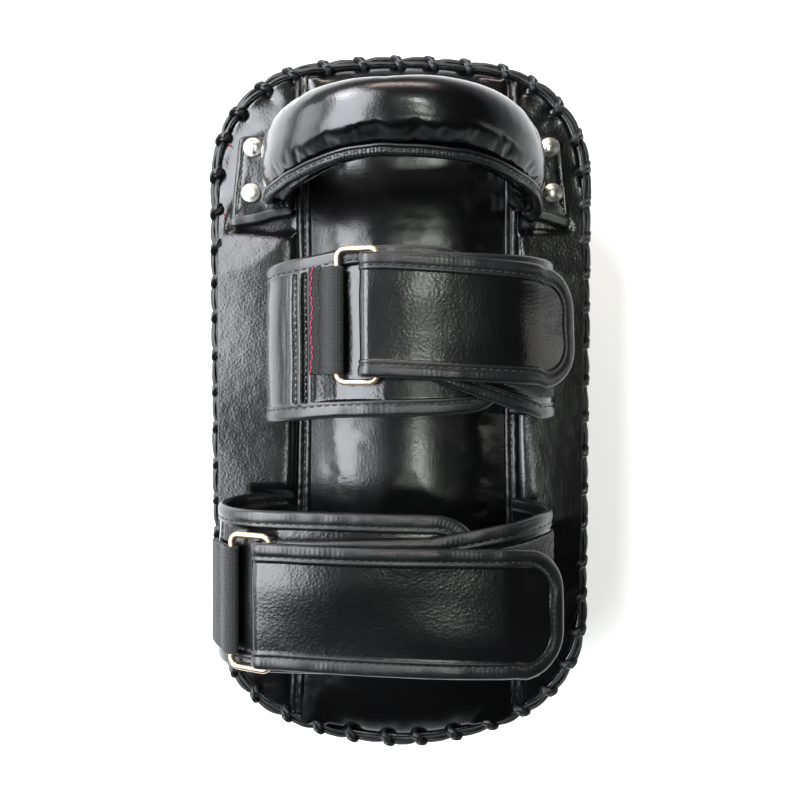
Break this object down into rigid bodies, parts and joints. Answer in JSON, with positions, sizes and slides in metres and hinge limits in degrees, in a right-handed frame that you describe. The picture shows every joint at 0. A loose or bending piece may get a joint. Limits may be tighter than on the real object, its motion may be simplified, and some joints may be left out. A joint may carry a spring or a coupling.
{
  "type": "kick pad",
  "caption": "Thick padded kick pad with laced edge, arched grip handle and two arm straps that close with rings and fold-back flaps.",
  "frame": {"origin": "centre of the strike face's plan outline, on the plane that the strike face rests on", "axes": "+Y along the pad towards the end with the handle, +Z out of the back where the straps are, +X across the pad to the right seen from the strap side with +Y up"},
  "size_m": [0.21, 0.38, 0.189],
  "materials": {
    "black_leather": "satin",
    "binding_leather": "matte",
    "lace_leather": "satin",
    "foam": "matte",
    "board": "matte",
    "webbing": "matte",
    "hook_and_loop": "matte",
    "plated_wire": "polished",
    "rivet_metal": "polished"
  },
  "bodies": {
    "pad": {"strike_face": "black_leather", "side_gusset": "black_leather", "front_piping": "binding_leather", "core_foam_hard": "foam", "core_foam_soft": "foam", "core_foam_back": "foam", "stiffener_board": "board", "back_panel_left": "black_leather", "back_panel_right": "black_leather", "forearm_cushion_cover": "black_leather", "forearm_cushion_foam": "foam", "seam_binding_left": "binding_leather", "seam_binding_right": "binding_leather", "edge_lace": "lace_leather", "handle_tab_left": "black_leather", "handle_tab_right": "black_leather", "handle_rivets": "rivet_metal", "rivet_burrs": "rivet_metal", "mid_ring_band": "black_leather", "mid_ring_band_binding": "binding_leather", "mid_webbing_loop": "webbing", "mid_pull_band": "black_leather", "mid_pull_band_binding": "binding_leather", "mid_loop_patch": "hook_and_loop", "low_ring_band": "black_leather", "low_ring_band_binding": "binding_leather", "low_webbing_loop": "webbing", "low_pull_band": "black_leather", "low_pull_band_binding": "binding_leather", "low_loop_patch": "hook_and_loop"},
    "handle": {"handle_cover": "black_leather", "handle_core": "foam", "handle_binding": "binding_leather", "handle_roots": "black_leather"},
    "mid_ring": {"mid_ring": "plated_wire", "mid_strap_turn": "black_leather"},
    "mid_flap": {"mid_flap": "black_leather", "mid_flap_binding": "binding_leather", "mid_hook_patch": "hook_and_loop"},
    "low_ring": {"low_ring": "plated_wire", "low_strap_turn": "black_leather"},
    "low_flap": {"low_flap": "black_leather", "low_flap_binding": "binding_leather", "low_hook_patch": "hook_and_loop"}
  },
  "joints": [
    {"name": "handle_tilt", "type": "hinge", "parent": "pad", "child": "handle", "pos_m": [0.0005, 0.126, 0.102], "axis": [1, 0, 0], "range_deg": [-15, 15], "stiffness_Nm_per_rad": 1.2, "deforming": ["handle_roots"]},
    {"name": "mid_ring_swivel", "type": "hinge", "parent": "pad", "child": "mid_ring", "pos_m": [-0.0294, 0.0406, 0.16459], "axis": [0, -1, 0], "range_deg": [0, 25], "deforming": ["mid_strap_turn"]},
    {"name": "mid_flap_peel", "type": "hinge", "parent": "mid_ring", "child": "mid_flap", "pos_m": [-0.0106, 0.0406, 0.16922], "axis": [0, -1, 0], "range_deg": [0, 110]},
    {"name": "low_ring_swivel", "type": "hinge", "parent": "pad", "child": "low_ring", "pos_m": [-0.0793, -0.092, 0.1602], "axis": [0, -1, 0], "range_deg": [0, 25], "deforming": ["low_strap_turn"]},
    {"name": "low_flap_peel", "type": "hinge", "parent": "low_ring", "child": "low_flap", "pos_m": [-0.06, -0.092, 0.16844], "axis": [0, -1, 0], "range_deg": [0, 110]}
  ]
}
